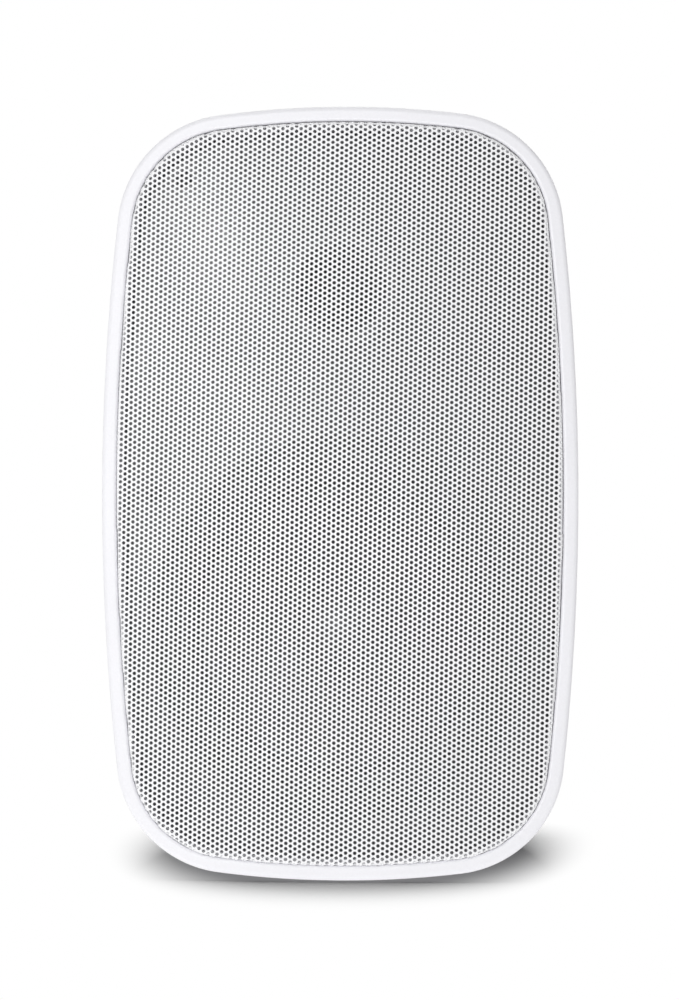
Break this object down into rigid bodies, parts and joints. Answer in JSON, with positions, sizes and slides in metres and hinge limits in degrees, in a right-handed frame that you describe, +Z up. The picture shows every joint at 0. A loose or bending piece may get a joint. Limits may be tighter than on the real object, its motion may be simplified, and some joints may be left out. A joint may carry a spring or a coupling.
{
  "type": "outdoor patio speaker",
  "caption": "White weatherproof two-way patio speaker: a moulded tub with a domed perforated grille, woofer, tweeter, crossover, bracket threads and sprung wire terminals.",
  "frame": {"origin": "middle of the footprint, on the bottom bracket seat that it stands on", "axes": "+X to the right of someone looking at the grille, +Y from the grille to the back, +Z up"},
  "size_m": [0.173, 0.165, 0.28],
  "materials": {
    "white_shell": "fine moulded grain",
    "white_sheet": "satin powder coat",
    "brass": "turned",
    "black_moulding": "satin",
    "black_foam": "matt",
    "black_screw": "blackened",
    "steel_screw": "plated",
    "black_frame": "satin",
    "black_rubber": "satin",
    "dark_cone": "satin",
    "dark_cap": "satin",
    "spider_cloth": "woven",
    "copper": "lacquered wire",
    "zinc_steel": "zinc plated",
    "ferrite": "matt",
    "black_cloth": "coated",
    "tinned_brass": "tinned",
    "red_plastic": "gloss",
    "black_plastic": "gloss",
    "green_board": "satin",
    "yellow_film": "gloss",
    "white_ceramic": "matt",
    "white_wadding": "loose fibre"
  },
  "bodies": {
    "cabinet": {"cabinet_shell": "white_shell", "bracket_inserts": "brass", "grille": "white_sheet", "front_baffle": "black_moulding", "baffle_gasket": "black_foam", "baffle_screws": "black_screw", "woofer_frame": "black_frame", "woofer_gasket": "black_foam", "woofer_screws": "black_screw", "woofer_surround": "black_rubber", "woofer_spider": "spider_cloth", "woofer_top_plate": "zinc_steel", "woofer_magnet": "ferrite", "woofer_back_plate": "zinc_steel", "tweeter_faceplate": "black_moulding", "tweeter_gasket": "black_foam", "tweeter_roll": "black_cloth", "tweeter_pole_plate": "zinc_steel", "tweeter_magnet": "ferrite", "tweeter_rear_cup": "zinc_steel", "terminal_cup": "black_moulding", "terminal_gasket": "black_foam", "terminal_screws": "steel_screw", "terminal_pin": "zinc_steel", "terminal_tabs": "tinned_brass", "crossover_board": "green_board", "crossover_screws": "steel_screw", "crossover_inductor": "copper", "crossover_capacitor": "yellow_film", "crossover_resistor": "white_ceramic", "wadding": "white_wadding"},
    "woofer_cone_body": {"woofer_cone": "dark_cone", "woofer_dust_cap": "dark_cap", "woofer_voice_coil": "copper"},
    "tweeter_dome_body": {"tweeter_dome": "black_cloth", "tweeter_voice_coil": "copper"},
    "red_lever_body": {"red_lever": "red_plastic"},
    "black_lever_body": {"black_lever": "black_plastic"}
  },
  "joints": [
    {"name": "woofer_stroke", "type": "slide", "parent": "cabinet", "child": "woofer_cone_body", "axis": [0, -1, 0], "range_m": [-0.004, 0.004], "stiffness_N_per_m": 1500, "deforming": ["woofer_surround", "woofer_spider"]},
    {"name": "tweeter_stroke", "type": "slide", "parent": "cabinet", "child": "tweeter_dome_body", "axis": [0, -1, 0], "range_m": [-0.0003, 0.0003], "stiffness_N_per_m": 1000, "deforming": ["tweeter_roll"]},
    {"name": "red_lever_press", "type": "hinge", "parent": "cabinet", "child": "red_lever_body", "pos_m": [-0.011, 0.0695, 0.0785], "axis": [-1, 0, 0], "range_deg": [0, 20], "stiffness_Nm_per_rad": 0.05, "springref_deg": -11.46},
    {"name": "black_lever_press", "type": "hinge", "parent": "cabinet", "child": "black_lever_body", "pos_m": [0.011, 0.0695, 0.0785], "axis": [-1, 0, 0], "range_deg": [0, 20], "stiffness_Nm_per_rad": 0.05, "springref_deg": -11.46}
  ]
}
